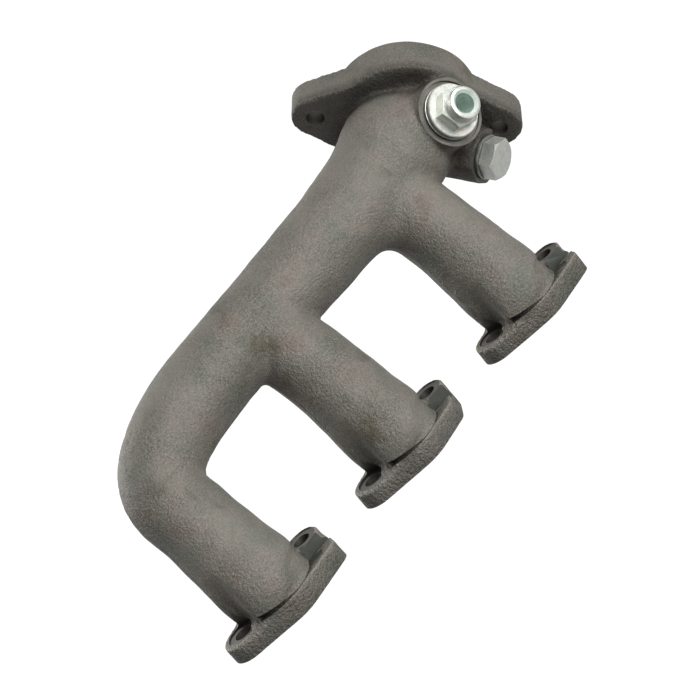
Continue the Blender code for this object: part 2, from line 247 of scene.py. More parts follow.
def cylinder(radius, low, high, place, sides=48, tip_radius=None):
    """A cylinder, or a cone, along local Z from height low to height high."""
    bm = bmesh.new()
    bmesh.ops.create_cone(bm, cap_ends=True, segments=sides, radius1=radius,
                          radius2=radius if tip_radius is None else tip_radius, depth=high - low)
    bmesh.ops.translate(bm, verts=bm.verts, vec=(0.0, 0.0, (low + high) / 2.0))
    bm.transform(place)
    return bm


def turned(profile, place, sides=64, ring=False):
    """A solid of revolution of a profile (radius, height).

    A ring's profile closes on itself; any other begins and ends on the axis.
    """
    bm = bmesh.new()
    verts = [bm.verts.new((radius, 0.0, height)) for radius, height in profile]
    pairs = zip(verts, verts[1:] + verts[:1] if ring else verts[1:])
    edges = [bm.edges.new(pair) for pair in pairs]
    bmesh.ops.spin(bm, geom=verts + edges, cent=(0, 0, 0), axis=(0, 0, 1), angle=math.tau,
                   steps=sides, use_merge=True)
    outward(bm)
    bm.transform(place)
    return bm


def slab(outline, low, high, place):
    """A flat outline raised from local height low to height high."""
    bm = bmesh.new()
    face = bm.faces.new([bm.verts.new((point.x, point.y, low)) for point in outline])
    raised = bmesh.ops.extrude_face_region(bm, geom=[face])["geom"]
    top = [item for item in raised if isinstance(item, bmesh.types.BMVert)]
    bmesh.ops.translate(bm, verts=top, vec=(0.0, 0.0, high - low))
    outward(bm)
    bm.transform(place)
    return bm


def hull_outline(circles, arc_step=math.radians(8.0)):
    """The outline that runs round the circles (centre, radius), given anticlockwise."""
    count = len(circles)
    normals = []
    for i in range(count):
        (c1, r1), (c2, r2) = circles[i], circles[(i + 1) % count]
        along = c2 - c1
        heading = math.atan2(along.y, along.x)
        normals.append(heading - math.acos((r1 - r2) / along.length))
    outline = []
    for i, (centre, radius) in enumerate(circles):
        start = normals[i - 1]
        span = (normals[i] - start) % math.tau
        steps = max(1, round(span / arc_step))
        for step in range(steps + 1):
            angle = start + span * step / steps
            outline.append(centre + radius * Vector((math.cos(angle), math.sin(angle), 0.0)))
    return outline


def gather(parts):
    """All the shells in one bmesh."""
    whole = bmesh.new()
    for part in parts:
        mesh = bpy.data.meshes.new("shell")
        part.to_mesh(mesh)
        part.free()
        whole.from_mesh(mesh)
        bpy.data.meshes.remove(mesh)
    return whole


# ---- places, from the frame -------------------------------------------------

PORTS = [Vector(MOUNTS[f"port_face_{i + 1}"]["pos_m"]) + PORT_FACE_POINT for i in range(PORT_COUNT)]
PORT_PITCH = PORTS[1].x - PORTS[0].x
OUTLET_AXIS = Vector(MOUNTS["outlet_face"]["axis"]).normalized()
OUTLET_SIDE = axis_frame(Vector(), OUTLET_AXIS, OUTLET_ROLL).to_3x3() @ Vector((1.0, 0.0, 0.0))
OUTLET_BACK = (Vector(MOUNTS["outlet_face"]["pos_m"]) - OUTLET_AXIS * OUTLET_THICK
               - OUTLET_SIDE * OUTLET_FACE_POINT)
EGR_SEAT = Vector(JOINTS["adapter_unscrew"]["pos_m"])
EGR_AXIS = Vector(JOINTS["adapter_unscrew"]["axis"])
PLUG_SEAT = Vector(JOINTS["plug_unscrew"]["pos_m"])
PLUG_AXIS = Vector(JOINTS["plug_unscrew"]["axis"])


def mm(x, y, z):
    return Vector((x, y, z)) * MM


def over(port, along, sideways, rise):
    """A place near the log axis, measured from where that axis passes over a port."""
    return port + Vector((along, LOG_Y + sideways, LOG_Z + rise))


# ---- materials --------------------------------------------------------------

def shade(hex_colour):
    """An sRGB hex colour as linear red, green, blue and alpha."""
    channels = [int(hex_colour[i:i + 2], 16) / 255 for i in (1, 3, 5)]
    return [c / 12.92 if c <= 0.04045 else ((c + 0.055) / 1.055) ** 2.4 for c in channels] + [1.0]


def new_material(name):
    material = bpy.data.materials.new(name)
    material.use_nodes = True
    nodes = material.node_tree.nodes
    return material, nodes["Principled BSDF"]


def put(owner, kind, settings=None, **links):
    """Add a node to the tree that owner is in; links name its sockets, with values or sockets."""
    tree = owner.id_data
    node = tree.nodes.new(kind)
    for name, value in (settings or {}).items():
        setattr(node, name, value)
    for name, value in links.items():
        key = int(name[1:]) if name[0] == "i" and name[1:].isdigit() else name.replace("_", " ")
        if isinstance(value, bpy.types.NodeSocket):
            tree.links.new(value, node.inputs[key])
        else:
            node.inputs[key].default_value = value
    return node


def ramp(owner, source, stops):
    """A colour ramp through the stops (place, hex colour)."""
    node = put(owner, "ShaderNodeValToRGB", Fac=source)
    elements = node.color_ramp.elements
    while len(elements) < len(stops):
        elements.new(0.5)
    for element, (place, colour) in zip(elements, stops):
        element.position = place
        element.color = shade(colour)
    return node.outputs["Color"]


def per_metre(size_mm):
    """The scale of a pattern whose features are size_mm wide."""
    return 1000.0 / size_mm


def grain(owner, where, size_mm, detail=2.0, rough=0.55):
    return put(owner, "ShaderNodeTexNoise", Vector=where, Scale=per_metre(size_mm), Detail=detail,
               Roughness=rough).outputs["Fac"]


def mix(owner, factor, first, second, blend="MIX"):
    node = put(owner, "ShaderNodeMix", {"data_type": "RGBA", "blend_type": blend}, i0=factor,
               i6=first, i7=second)
    return node.outputs[2]


def remap(owner, value, low, high, to_low=0.0, to_high=1.0):
    return put(owner, "ShaderNodeMapRange", Value=value, From_Min=low, From_Max=high,
               To_Min=to_low, To_Max=to_high).outputs["Result"]


def near(owner, where, centre, reach_mm):
    """1 at a place on the piece, fading to 0 at reach_mm from it."""
    away = put(owner, "ShaderNodeVectorMath", {"operation": "DISTANCE"}, i0=where, i1=centre)
    return remap(owner, away.outputs["Value"], 0.0, reach_mm * MM, 1.0, 0.0)


def times(owner, first, second):
    return put(owner, "ShaderNodeMath", {"operation": "MULTIPLY", "use_clamp": True}, i0=first,
               i1=second).outputs[0]


def shot_blasted_iron():
    """Grey cast iron, shot-blasted: matt warm grey that the dents speckle, with a painted highlight
    on its edges, painted shade in its corners and painted shade on the outlet flange's back."""
    material, shader = new_material("shot_blasted_cast_iron")
    where = put(shader, "ShaderNodeTexCoord").outputs["Object"]
    clouds = grain(shader, where, 24.0, 4.0, 0.6)
    tone = ramp(shader, clouds, [(0.32, "#7f8178"), (0.46, "#8b8880"), (0.58, "#918b83"),
                                 (0.74, "#83776d")])
    oil = remap(shader, grain(shader, where, 31.0, 3.0, 0.6), 0.60, 0.78)
    tone = mix(shader, oil, tone, shade("#5f5842"))
    dents = grain(shader, where, 0.85, 3.0, 0.8)         # dents of 0.5 mm, drawn coarser to show
    speckle = ramp(shader, dents, [(0.34, "#969693"), (0.5, "#dcdcd9"), (0.62, "#ffffff")])
    patchy = remap(shader, grain(shader, where, 38.0, 2.0), 0.35, 0.65, 0.35, 0.95)
    tone = mix(shader, patchy, tone, speckle, "MULTIPLY")
    bend = put(shader, "ShaderNodeNewGeometry").outputs["Pointiness"]
    # painted highlight: the sharp convex edges (high pointiness) are lightened, speckled by the dents
    edge_highlight = times(shader, remap(shader, bend, 0.515, 0.57), remap(shader, dents, 0.35, 0.6))
    tone = mix(shader, times(shader, edge_highlight, 0.75), tone, shade("#b5b1a9"))
    # painted shade: hollow corners (low pointiness) are darkened
    crevice_shade = remap(shader, bend, 0.485, 0.44)
    tone = mix(shader, times(shader, crevice_shade, 0.7), tone, shade("#2f2d28"))
    # painted shade: darkened where ambient occlusion finds the surface closed in
    open_air = put(shader, "ShaderNodeAmbientOcclusion", {"samples": 6}, Distance=26.0 * MM)
    occlusion_shade = remap(shader, open_air.outputs["AO"], 0.25, 0.85, 0.85, 0.0)
    tone = mix(shader, occlusion_shade, tone, shade("#24231f"))
    # painted shade on the outlet flange's back face and the dome just behind it
    from_flange = put(shader, "ShaderNodeVectorMath", {"operation": "SUBTRACT"}, i0=where,
                      i1=OUTLET_BACK)
    behind = put(shader, "ShaderNodeVectorMath", {"operation": "DOT_PRODUCT"},
                 i0=from_flange.outputs["Vector"], i1=OUTLET_AXIS).outputs["Value"]
    flange_back_shade = times(shader, remap(shader, behind, -12.0 * MM, -1.0 * MM),
                  remap(shader, behind, 2.0 * MM, 7.0 * MM, 1.0, 0.35))
    tone = mix(shader, times(shader, flange_back_shade, 0.55), tone, shade("#24231f"))
    glint = remap(shader, grain(shader, where, 0.7, 1.0), 0.66, 0.76)
    tone = mix(shader, times(shader, glint, 0.3), tone, shade("#cfccc4"))
    shader.id_data.links.new(tone, shader.inputs["Base Color"])
    shine = remap(shader, dents, 0.35, 0.7, 0.66, 0.44)
    shader.id_data.links.new(shine, shader.inputs["Roughness"])
    shader.inputs["Metallic"].default_value = 0.3
    shader.inputs["Specular IOR Level"].default_value = 0.3
    height = put(shader, "ShaderNodeSeparateXYZ", Vector=where).outputs["Z"]
    on_plates = remap(shader, height, 0.014, 0.010, 0.45, 1.0)
    pitted = put(shader, "ShaderNodeBump", Strength=0.9, Distance=0.5 * MM, Height=dents)
    coarse = put(shader, "ShaderNodeBump", Strength=on_plates, Distance=1.8 * MM,
                 Height=grain(shader, where, 1.6, 2.0), Normal=pitted.outputs["Normal"])
    shader.id_data.links.new(coarse.outputs["Normal"], shader.inputs["Normal"])
    return material


def milled_iron():
    """Cast iron cut by a milling or spot-facing tool: smoother and a little brighter."""
    material, shader = new_material("milled_cast_iron")
    where = put(shader, "ShaderNodeTexCoord").outputs["Object"]
    clouds = grain(shader, where, 9.0, 3.0)
    tone = ramp(shader, clouds, [(0.3, "#55544f"), (0.7, "#706d67")])
    shader.id_data.links.new(tone, shader.inputs["Base Color"])
    shader.inputs["Metallic"].default_value = 0.8
    shader.inputs["Roughness"].default_value = 0.45
    marks = grain(shader, where, 0.7, 2.0)
    bump = put(shader, "ShaderNodeBump", Strength=0.4, Distance=0.08 * MM, Height=marks)
    shader.id_data.links.new(bump.outputs["Normal"], shader.inputs["Normal"])
    return material


def recess_shade_iron():
    """The recess walls' iron, smoother than the cast skin: darker, even and faintly green, a painted
    shade.
    """
    material, shader = new_material("recess_iron_painted_shade")
    where = put(shader, "ShaderNodeTexCoord").outputs["Object"]
    tone = ramp(shader, grain(shader, where, 7.0, 3.0), [(0.3, "#3f433d"), (0.7, "#50534c")])
    shader.id_data.links.new(tone, shader.inputs["Base Color"])
    shader.inputs["Metallic"].default_value = 0.4
    shader.inputs["Roughness"].default_value = 0.55
    bump = put(shader, "ShaderNodeBump", Strength=0.3, Distance=0.1 * MM,
               Height=grain(shader, where, 1.0, 2.0))
    shader.id_data.links.new(bump.outputs["Normal"], shader.inputs["Normal"])
    return material


def cored_iron():
    """The sand-cored inside of the gas passages: dark and rough, with a little rust bloom."""
    material, shader = new_material("sand_cored_cast_iron")
    where = put(shader, "ShaderNodeTexCoord").outputs["Object"]
    clouds = grain(shader, where, 14.0, 4.0, 0.65)
    tone = ramp(shader, clouds, [(0.3, "#35332f"), (0.55, "#4b4640"), (0.75, "#5c4a3b")])
    shader.id_data.links.new(tone, shader.inputs["Base Color"])
    shader.inputs["Metallic"].default_value = 0.3
    shader.inputs["Roughness"].default_value = 0.8
    sand = grain(shader, where, 1.6, 3.0, 0.7)
    bump = put(shader, "ShaderNodeBump", Strength=0.8, Distance=0.4 * MM, Height=sand)
    shader.id_data.links.new(bump.outputs["Normal"], shader.inputs["Normal"])
    return material


def zinc_plate():
    """Bright zinc plating on turned steel: pale silver with a faint green cast, satin."""
    material, shader = new_material("bright_zinc_plated_steel")
    where = put(shader, "ShaderNodeTexCoord").outputs["Object"]
    clouds = grain(shader, where, 6.0, 3.0)
    tone = ramp(shader, clouds, [(0.3, "#c3c8c0"), (0.52, "#d6d8d2"), (0.72, "#dcd8cb")])
    fine = grain(shader, where, 0.9, 3.0, 0.7)           # crystals of 0.05 mm, drawn coarser to show
    tone = mix(shader, 0.5, tone, ramp(shader, fine, [(0.35, "#c4c4c2"), (0.62, "#ffffff")]),
               "MULTIPLY")
    shader.id_data.links.new(tone, shader.inputs["Base Color"])
    shader.inputs["Metallic"].default_value = 0.8
    shader.id_data.links.new(remap(shader, fine, 0.3, 0.7, 0.36, 0.48), shader.inputs["Roughness"])
    bump = put(shader, "ShaderNodeBump", Strength=0.12, Distance=0.04 * MM, Height=fine)
    shader.id_data.links.new(bump.outputs["Normal"], shader.inputs["Normal"])
    return material


def passivated_bore_painted_light():
    """The drilled bore of the adapter: the passivation's blue-green tint, made pale as painted light in
    the deep bore, satin.
    """
    material, shader = new_material("passivated_zinc_bore_painted_light")
    where = put(shader, "ShaderNodeTexCoord").outputs["Object"]
    # pale tone: the passivation's tint, brightened as painted light inside the deep bore
    tone = ramp(shader, grain(shader, where, 3.0, 3.0), [(0.3, "#d2e5da"), (0.7, "#edf6f0")])
    shader.id_data.links.new(tone, shader.inputs["Base Color"])
    shader.inputs["Metallic"].default_value = 0.15
    shader.inputs["Roughness"].default_value = 0.35
    return material


def washer_steel():
    """Plain cold-rolled steel washer: duller and a little darker than the plating."""
    material, shader = new_material("cold_rolled_steel")
    where = put(shader, "ShaderNodeTexCoord").outputs["Object"]
    clouds = grain(shader, where, 4.0, 3.0)
    tone = ramp(shader, clouds, [(0.3, "#7f827f"), (0.7, "#a2a4a0")])
    shader.id_data.links.new(tone, shader.inputs["Base Color"])
    shader.inputs["Metallic"].default_value = 0.95
    shader.inputs["Roughness"].default_value = 0.38
    fine = grain(shader, where, 0.7, 2.0)
    bump = put(shader, "ShaderNodeBump", Strength=0.25, Distance=0.05 * MM, Height=fine)
    shader.id_data.links.new(bump.outputs["Normal"], shader.inputs["Normal"])
    return material


IRON = shot_blasted_iron()
MILLED = milled_iron()
CORED = cored_iron()
RECESS_SHADE = recess_shade_iron()
ZINC = zinc_plate()
BORE_ZINC_PAINTED_LIGHT = passivated_bore_painted_light()
WASHER_STEEL = washer_steel()


# ---- the rough casting ------------------------------------------------------

def neck_knots(port, swell=NECK_SHIFT):
    """The first stretch of every runner, up to its kink: place, outer and gas radius."""
    side = Vector((-swell, 0.0, 0.0))
    return [
        (port, MOUTH_R, PORT_BORE_R),
        (port + mm(0.0, 0.0, 12.0), MOUTH_R, PORT_BORE_R),
        (port + side + mm(0.0, 1.0, 17.5), NECK_R - 0.4 * MM, PORT_BORE_R),
        (port + side + mm(0.0, 5.0, 26.0), NECK_R, PORT_BORE_R),
        (port + side / 2 + mm(0.0, 14.5, 42.0), KINK_R, PORT_BORE_R),
        (port + mm(0.0, 25.0, 61.0), RUNNER_R, PORT_BORE_R),
    ]


def runner_knots(port, swell=NECK_SHIFT):
    """A runner stands up from its port, then leans over to the log axis."""
    knots = neck_knots(port, swell)
    start = knots[-1][0]
    end = over(port, 0.0, 0.0, 0.0)
    return knots + [(start.lerp(end, share), RUNNER_R, PORT_BORE_R) for share in (0.5, 1.0)]


def log_knots(swell=NECK_SHIFT):
    """The first runner bends into the log, which swells into the outlet."""
    first, last = PORTS[0], PORTS[-1]
    neck_at = OUTLET_BACK + OUTLET_NECK_DROP * Vector((0.0, 0.0, -1.0)).cross(OUTLET_AXIS).cross(
        -OUTLET_AXIS).normalized()
    bends = [
        (over(first, 2.8 * MM, -12.0 * MM, -22.0 * MM), RUNNER_R),
        (over(first, 21.8 * MM, -6.0 * MM, -8.0 * MM), RUNNER_R),
        (over(first, PORT_PITCH / 2, -2.0 * MM, -2.0 * MM), LOG_R),
        (over(first, PORT_PITCH, 0.0, 0.0), LOG_R),
        (over(last, -51.8 * MM, 0.0, 1.5 * MM), LOG_R + 1.5 * MM),
        (over(last, -6.8 * MM, 1.0 * MM, 3.0 * MM), LOG_R + 4.0 * MM),
        (over(last, 26.2 * MM, 4.0 * MM, 6.5 * MM), DOME_R - 2.0 * MM),
        (neck_at - OUTLET_AXIS * 5.0 * MM, DOME_R - OUTLET_NECKING),
        (neck_at + OUTLET_AXIS * OUTLET_EAR_THICK / 2, DOME_R - OUTLET_NECKING),
    ]
    return neck_knots(first, swell) + [(at, r, r - WALL) for at, r in bends]


def outside(knots):
    return pipe([(at, outer) for at, outer, _ in knots])


def inside(knots):
    """The core of a gas passage, run out past the port face."""
    ways = [(at, inner) for at, _, inner in knots]
    start = (ways[0][0] - Vector((0.0, 0.0, OVERCUT)), ways[0][1])
    return pipe([start] + ways, sides=36, steps=4)


def fluted(knots, port):
    """A runner's outside with the flute that clears the low bolt's socket."""
    obj = new_object("runner", outside(knots))
    flute = cylinder(FLUTE_R, PLATE_THICK, FLUTE_TOP, Matrix.Translation(port + FLUTE_AT))
    combine(obj, [new_object("flute", flute)], "DIFFERENCE")
    bm = bmesh.new()
    bm.from_mesh(obj.data)
    bpy.data.objects.remove(obj, do_unlink=True)
    return bm


def port_plate(index):
    """Plate, lobe and tall lug of one port, run below the face for the milling cut."""
    place = Matrix.Translation(PORTS[index])
    lobe = LOBE_AT - Vector((LOBE_SHORT[index], 0.0, 0.0))
    circles = [(EAR_BOLT, EAR_R), (Vector(), PLATE_R), (lobe, LOBE_R), (LUG_BOLT, LUG_R),
               (Vector(), PLATE_R)]
    ear = slab(hull_outline(circles), -OVERCUT, EAR_TOP, place)
    circles[0] = (Vector((-EAR_STEP, 0.0, 0.0)), PLATE_R - EAR_STEP / 2)
    plate = slab(hull_outline(circles), -OVERCUT, PLATE_THICK, place)
    lug = cylinder(LUG_R, -OVERCUT + 1.0 * MM, LUG_HEIGHT, place @ Matrix.Translation(LUG_BOLT))
    return [ear, plate, lug]


def outlet_flange():
    """Thick two-ear flange, run past its front face for the milling cut."""
    place = axis_frame(OUTLET_BACK, OUTLET_AXIS, OUTLET_ROLL)
    ear = Vector((OUTLET_BOLTS / 2, 0.0, 0.0))
    circles = [(-ear, OUTLET_EAR_R), (Vector(), OUTLET_WEB_R), (ear, OUTLET_EAR_R),
               (Vector(), OUTLET_WEB_R)]
    ears = slab(hull_outline(circles), 0.0, OUTLET_EAR_THICK, place)
    disc = cylinder(OUTLET_R, 0.5 * MM, OUTLET_THICK + OVERCUT, place, 72)
    return [ears, disc]


def bosses():
    egr = axis_frame(EGR_SEAT, EGR_AXIS)
    plug = axis_frame(PLUG_SEAT, PLUG_AXIS)
    return [cylinder(EGR_BOSS_R, -BOSS_DEPTH, EGR_RIM + OVERCUT, egr),
            cylinder(PLUG_BOSS_R, -BOSS_DEPTH, 2.0 * MM, plug, sides=9)]


def rough_casting():
    shells = [fluted(log_knots(), PORTS[0])]
    shells += [fluted(runner_knots(port), port) for port in PORTS[1:]]
    for index in range(PORT_COUNT):
        shells += port_plate(index)
    shells += outlet_flange() + bosses()
    body = new_object("cast_body", gather(shells), IRON)
    skin = body.modifiers.new("skin", "REMESH")
    skin.mode = "VOXEL"
    skin.voxel_size = SKIN
    return settle(body)


# ---- hand work on the skin --------------------------------------------------

# where an inside corner is filled wider than the general fillet: place, reach, fillet radius
FILLETS = [
    (over(PORTS[2], -26.0 * MM, -16.0 * MM, -24.0 * MM), 42.0 * MM, 13.0 * MM),
    (over(PORTS[1], 26.0 * MM, -16.0 * MM, -24.0 * MM), 26.0 * MM, 4.0 * MM),
    (over(PORTS[1], -26.0 * MM, -16.0 * MM, -24.0 * MM), 26.0 * MM, 3.5 * MM),
    (EGR_SEAT - EGR_AXIS * 8.0 * MM + mm(0.0, 0.0, 22.0), 20.0 * MM, 7.0 * MM),
]
GENERAL_FILLET = 2.2 * MM
SEAM_HEIGHT = 0.45 * MM
SEAM_WIDTH = 0.9 * MM
# blobs and pits that the sand left: place, radius, height
CAST_MARKS = [
    (over(PORTS[0], 46.0 * MM, -1.0 * MM, 12.0 * MM), 1.7 * MM, 0.9 * MM),
    (over(PORTS[0], 49.0 * MM, 1.5 * MM, 9.0 * MM), 1.5 * MM, 0.7 * MM),
    (over(PORTS[0], 43.5 * MM, 2.5 * MM, 10.0 * MM), 1.4 * MM, 0.7 * MM),
    (over(PORTS[0], 8.0 * MM, -9.0 * MM, 11.0 * MM), 2.4 * MM, -0.8 * MM),
    (PORTS[0] + mm(23.4, -6.2, 17.0), 1.9 * MM, 1.6 * MM),
]
FLUTE_BLEND = 60.0 * MM * MM                     # rounds of rubbing, times a skin face's area


def neighbours(mesh):
    """For each vertex the slice of its neighbours in one long list."""
    pairs = np.empty(len(mesh.edges) * 2, np.int32)
    mesh.edges.foreach_get("vertices", pairs)
    pairs = pairs.reshape(-1, 2)
    both = np.concatenate([pairs, pairs[:, ::-1]])
    both = both[np.argsort(both[:, 0], kind="stable")]
    starts = np.searchsorted(both[:, 0], np.arange(len(mesh.vertices)))
    counts = np.bincount(both[:, 0], minlength=len(mesh.vertices))
    return both[:, 1], starts, counts[:, None]


def places(mesh):
    co = np.empty(len(mesh.vertices) * 3, np.float32)
    mesh.vertices.foreach_get("co", co)
    return co.reshape(-1, 3).astype(float)


def move(mesh, co):
    mesh.vertices.foreach_set("co", co.astype(np.float32).ravel())
    mesh.update()


def normals(mesh):
    found = np.empty(len(mesh.vertices) * 3, np.float32)
    mesh.vertex_normals.foreach_get("vector", found)
    return found.reshape(-1, 3).astype(float)


def fillet_map(co):
    """How wide each vertex's inside corner is filled; round the plates the corners stay sharp."""
    radius = np.where(co[:, 2] < LUG_HEIGHT + 1.0 * MM, 0.0, GENERAL_FILLET)
    for centre, reach, size in FILLETS:
        share = np.clip(1.0 - np.linalg.norm(co - np.array(centre), axis=1) / reach, 0.0, 1.0)
        share = share * share * (3 - 2 * share)
        radius = np.maximum(radius, size * share ** 0.5)
    return radius


def fill_corners(mesh):
    """Raise hollow places towards their neighbours, wider ones for longer; ridges stay."""
    others, starts, counts = neighbours(mesh)
    co = places(mesh)
    rounds = (fillet_map(co) / SKIN) ** 2 * 1.5
    facing = normals(mesh)
    for turn in range(int(rounds.max()) + 1):
        if turn % 6 == 0:
            move(mesh, co)
            facing = normals(mesh)
        step = np.add.reduceat(co[others], starts) / counts - co
        rise = (step * facing).sum(1)[:, None]
        along = step - rise * facing
        active = (rounds > turn)[:, None]
        co += np.where(active, 0.8 * np.maximum(rise, 0.0) * facing + 0.4 * along, 0.0)
    move(mesh, co)


def blend_flutes(mesh):
    """Rub the flutes' edges away, so that each runs out into its runner's flank."""
    others, starts, counts = neighbours(mesh)
    co = places(mesh)
    share = np.zeros(len(co))
    for port in PORTS:
        rise = np.clip((co[:, 2] - 15.0 * MM) / (6.0 * MM), 0.0, 1.0)
        rise *= np.clip((FLUTE_TOP + 12.0 * MM - co[:, 2]) / (8.0 * MM), 0.0, 1.0)
        side = np.clip((port.x - 9.0 * MM - co[:, 0]) / (6.0 * MM), 0.0, 1.0)
        side *= co[:, 0] > port.x - 40.0 * MM
        share = np.maximum(share, rise * side)
    for _ in range(round(FLUTE_BLEND / SKIN ** 2)):
        co += 0.5 * share[:, None] * (np.add.reduceat(co[others], starts) / counts - co)
    move(mesh, co)


def soften(mesh, rounds):
    """Ease every edge, least on the plates, whose pattern was cut sharper."""
    others, starts, counts = neighbours(mesh)
    co = places(mesh)
    factor = np.where(co[:, 2] < LUG_HEIGHT + 1.0 * MM, 0.22, 0.5)[:, None]
    for _ in range(rounds):
        co += factor * (np.add.reduceat(co[others], starts) / counts - co)
    move(mesh, co)


def seam(co):
    """1 along the mould's parting surface, which leans with the runners' axes, fading beside it."""
    axis = [knot[0] - PORTS[1] for knot in runner_knots(PORTS[1])]
    heights = [point.z for point in axis] + [2 * axis[-1].z - axis[-2].z]
    leans = [point.y for point in axis] + [2 * axis[-1].y - axis[-2].y]
    off = (co[:, 1] - PORTS[1].y - np.interp(co[:, 2], heights, leans)) / SEAM_WIDTH
    ends = np.clip((co[:, 2] - LUG_HEIGHT - 4.0 * MM) / (6.0 * MM), 0.0, 1.0)
    ends *= np.clip((PORTS[-1].x + 26.0 * MM - co[:, 0]) / (6.0 * MM), 0.0, 1.0)
    return ends * np.exp(-off * off)


def sand_cast_surface(mesh):
    """Slight waves of a hand-rubbed core box, and the parting line along the mould's joint."""
    co = places(mesh)
    facing = normals(mesh)
    rise = np.array([0.35 * noise.noise(Vector(p) / (19.0 * MM))
                     + 0.16 * noise.noise(Vector(p) / (6.0 * MM)) for p in co]) * MM
    rise += SEAM_HEIGHT * seam(co)
    for centre, radius, height in CAST_MARKS:
        away = np.linalg.norm(co - np.array(centre), axis=1) / radius
        rise += height * np.exp(-away * away)
    move(mesh, co + rise[:, None] * facing)


def skin_of_casting():
    body = rough_casting()
    fill_corners(body.data)
    blend_flutes(body.data)
    soften(body.data, 3)
    sand_cast_surface(body.data)
    return body


# ---- machining --------------------------------------------------------------

def hole(radius, low, high, place, sides=40):
    return new_object("hole", cylinder(radius, low, high, place, sides), MILLED)


def port_cuts(port):
    place = Matrix.Translation(port)
    ear = place @ Matrix.Translation(EAR_BOLT)
    lug = place @ Matrix.Translation(LUG_BOLT)
    return [
        hole(BOLT_HOLE_R, -2 * OVERCUT, LUG_HEIGHT + OVERCUT, ear),
        hole(BOLT_HOLE_R, -2 * OVERCUT, LUG_HEIGHT + OVERCUT, lug),
        new_object("pocket", cylinder(SPOTFACE_R, EAR_SEAT, EAR_SEAT + EAR_POCKET, ear, 48,
                                      tip_radius=POCKET_TIP_R), MILLED),
        hole(SPOTFACE_R, LUG_SEAT, LUG_SEAT + 15.0 * MM, lug, 48),
    ]


def plate_groove(port, start, end):
    """A sharp groove under the swollen neck, from one bearing round the port to another."""
    bm = bmesh.new()
    profile = [(MOUTH_R + 0.6 * MM, PLATE_THICK), (PLATE_R + 8.0 * MM, PLATE_THICK),
               (PLATE_R + 8.0 * MM, PLATE_THICK + 8.0 * MM), (NECK_R + 0.6 * MM, PLATE_THICK + 3.6 * MM),
               (MOUTH_R + 0.6 * MM, PLATE_THICK + 0.9 * MM)]
    face = bm.faces.new([bm.verts.new((radius, 0.0, height)) for radius, height in profile])
    bmesh.ops.rotate(bm, verts=bm.verts, cent=(0, 0, 0), matrix=Matrix.Rotation(start, 3, "Z"))
    bmesh.ops.spin(bm, geom=face.verts[:] + face.edges[:] + [face], cent=(0, 0, 0), axis=(0, 0, 1),
                   angle=end - start, steps=round((end - start) / math.radians(5.0)))
    outward(bm)
    bm.transform(Matrix.Translation(port))
    return new_object("groove", bm, IRON)


def lug_recess(port, lobe_short):
    """The flat-walled recess between the tall lug and the bar that ends in the lobe."""
    low = mm(20.6, -9.6, 9.3) - Vector((lobe_short * 0.1, 0.0, 0.0))
    high = mm(46.0, -5.0, 19.0)
    bm = bmesh.new()
    bmesh.ops.create_cube(bm, size=1.0)
    bmesh.ops.scale(bm, verts=bm.verts, vec=high - low)
    bmesh.ops.translate(bm, verts=bm.verts, vec=port + (low + high) / 2)
    upright = [edge for edge in bm.edges if abs(edge.verts[0].co.z - edge.verts[1].co.z) > 1.0 * MM]
    bmesh.ops.bevel(bm, geom=upright, offset=1.2 * MM, segments=3, affect="EDGES", profile=0.5,
                    material=-1)
    # its walls take the dark iron that paints shade into the recess
    return new_object("recess", bm, RECESS_SHADE)


def outlet_cuts():
    place = axis_frame(OUTLET_BACK, OUTLET_AXIS, OUTLET_ROLL)
    cuts = [hole(OUTLET_BORE_R, 2.0 * MM, OUTLET_THICK + 2 * OVERCUT, place, 72),
            hole(OUTLET_R + OVERCUT, OUTLET_THICK, OUTLET_THICK + 3 * OVERCUT, place, 72)]
    for side in (-1.0, 1.0):
        ear = place @ Matrix.Translation((side * OUTLET_BOLTS / 2, 0.0, 0.0))
        cuts.append(hole(OUTLET_HOLE_R, -30.0 * MM, OUTLET_THICK + OVERCUT, ear))
    return cuts


def boss_cuts():
    egr = axis_frame(EGR_SEAT, EGR_AXIS)
    plug = axis_frame(PLUG_SEAT, PLUG_AXIS)
    counterbore = turned([(0.0, 30.0 * MM), (21.6 * MM, 30.0 * MM), (21.6 * MM, EGR_RIM),
                          (EGR_SPOT_R, EGR_RIM), (EGR_SPOT_R, 0.0), (0.0, 0.0)], egr)
    return [new_object("counterbore", counterbore, MILLED),
            hole(PLUG_BOSS_R + 2.0 * MM, 0.0, 30.0 * MM, plug, 64),
            hole(THREAD_R + GAP, -BOSS_DEPTH - OVERCUT, OVERCUT, egr, 48),
            hole(THREAD_R + GAP, -BOSS_DEPTH - OVERCUT, OVERCUT, plug, 48)]


def casting():
    body = skin_of_casting()
    under = Matrix.Translation(PORTS[1])
    below = cylinder(2 * PORT_PITCH, -40.0 * MM, 0.0, under, 8)
    combine(body, [new_object("port_faces", below, MILLED)], "DIFFERENCE")
    cuts = []
    for index, port in enumerate(PORTS):
        cuts += port_cuts(port)
        cuts.append(lug_recess(port, LOBE_SHORT[index]))
        cuts.append(plate_groove(port, math.radians(-150.0), math.radians(-21.0)))
        cuts.append(plate_groove(port, math.radians(34.0), math.radians(158.0)))
    cuts += outlet_cuts() + boss_cuts()
    cuts.append(new_object("log_core", inside(log_knots(swell=0.0)), CORED))
    cuts += [new_object("runner_core", inside(runner_knots(port, swell=0.0)), CORED)
             for port in PORTS[1:]]
    combine(body, cuts, "DIFFERENCE")
    smooth_with_edges(body, 40.0)
    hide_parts("manifold_casting")
    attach(body, "casting")
    return body


# ---- fittings ---------------------------------------------------------------

